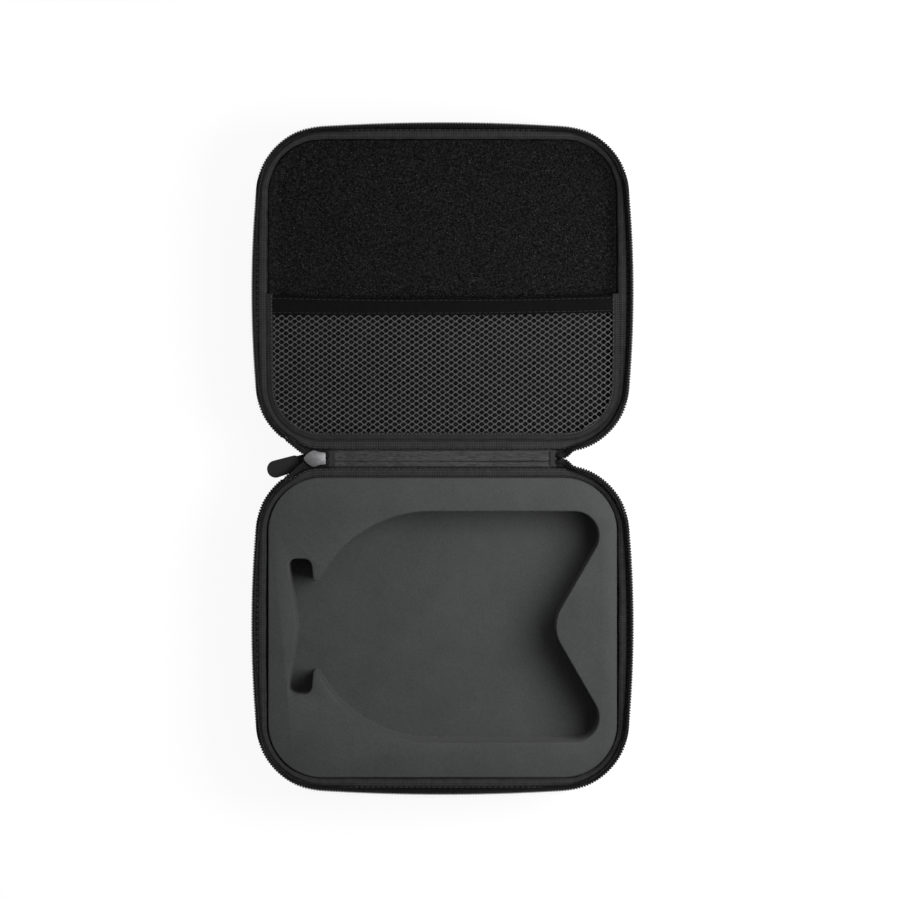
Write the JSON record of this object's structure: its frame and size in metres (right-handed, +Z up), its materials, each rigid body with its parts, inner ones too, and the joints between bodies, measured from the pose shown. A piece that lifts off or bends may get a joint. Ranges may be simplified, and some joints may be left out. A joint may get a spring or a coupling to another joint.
{
  "type": "fpv goggles carrying case",
  "caption": "Zipped clamshell carrying case for FPV goggles, open flat, with a die-cut foam well in the base and a mesh pocket in the lid.",
  "frame": {"origin": "on the ground under the middle of the hinge strip, with the case laid open flat", "axes": "+X along the hinge, +Y from the base to the lid, +Z up out of the open halves"},
  "size_m": [0.2196, 0.3862, 0.0565],
  "materials": {
    "shell_eva": "moulded EVA foam under black polyester cloth, fine weave, matt",
    "lining_cloth": "black brushed knit lining",
    "binding_tape": "black ribbed polyester binding tape",
    "zip_tape": "black woven zip tape",
    "zip_coil": "black nylon monofilament, satin gloss",
    "insert_foam": "charcoal closed-cell EVA foam, fine skin",
    "hinge_cloth": "black nylon webbing",
    "hinge_lining_cloth": "dark grey polyester cloth, creased",
    "slider_metal": "bare die-cast zinc alloy, tumbled",
    "link_metal": "black painted wire",
    "tab_rubber": "black moulded soft rubber",
    "sponge": "black open-cell sponge",
    "mesh_net": "knitted nylon net with open six-sided holes",
    "elastic_band": "black woven elastic"
  },
  "bodies": {
    "base": {"base_shell": "shell_eva", "base_lining": "lining_cloth", "base_binding": "binding_tape", "base_zip_tape": "zip_tape", "base_zip_coil": "zip_coil", "insert_block": "insert_foam", "insert_floor": "insert_foam"},
    "strip": {"hinge_web": "hinge_cloth", "hinge_lining": "hinge_lining_cloth", "hinge_hem_left": "hinge_lining_cloth", "hinge_hem_right": "hinge_lining_cloth", "zip_chain_left": "zip_coil", "zip_chain_right": "zip_coil"},
    "slider": {"slider_body": "slider_metal", "slider_crown": "slider_metal"},
    "pull": {"pull_link": "link_metal", "pull_tab": "tab_rubber"},
    "lid": {"lid_shell": "shell_eva", "lid_lining": "lining_cloth", "lid_binding": "binding_tape", "lid_zip_tape": "zip_tape", "lid_zip_coil": "zip_coil", "lid_pad": "sponge", "pocket_mesh": "mesh_net", "pocket_band": "elastic_band", "pocket_piping": "binding_tape"}
  },
  "joints": [
    {"name": "base_fold", "type": "hinge", "parent": "base", "child": "strip", "pos_m": [0, -0.0048, 0.052], "axis": [1, 0, 0], "range_deg": [0, 90]},
    {"name": "lid_fold", "type": "hinge", "parent": "strip", "child": "lid", "pos_m": [0, 0.0048, 0.052], "axis": [1, 0, 0], "range_deg": [0, 90]},
    {"name": "slider_travel", "type": "slide", "parent": "strip", "child": "slider", "axis": [-1, 0, 0], "range_m": [0, 0.006]},
    {"name": "pull_swing", "type": "hinge", "parent": "slider", "child": "pull", "pos_m": [-0.07555, 0, 0.0481], "axis": [0.284, -0.9588, 0], "range_deg": [0, 100]}
  ],
  "couplings": [
    {"joint": "lid_fold", "follows": "base_fold", "ratio": 1}
  ]
}
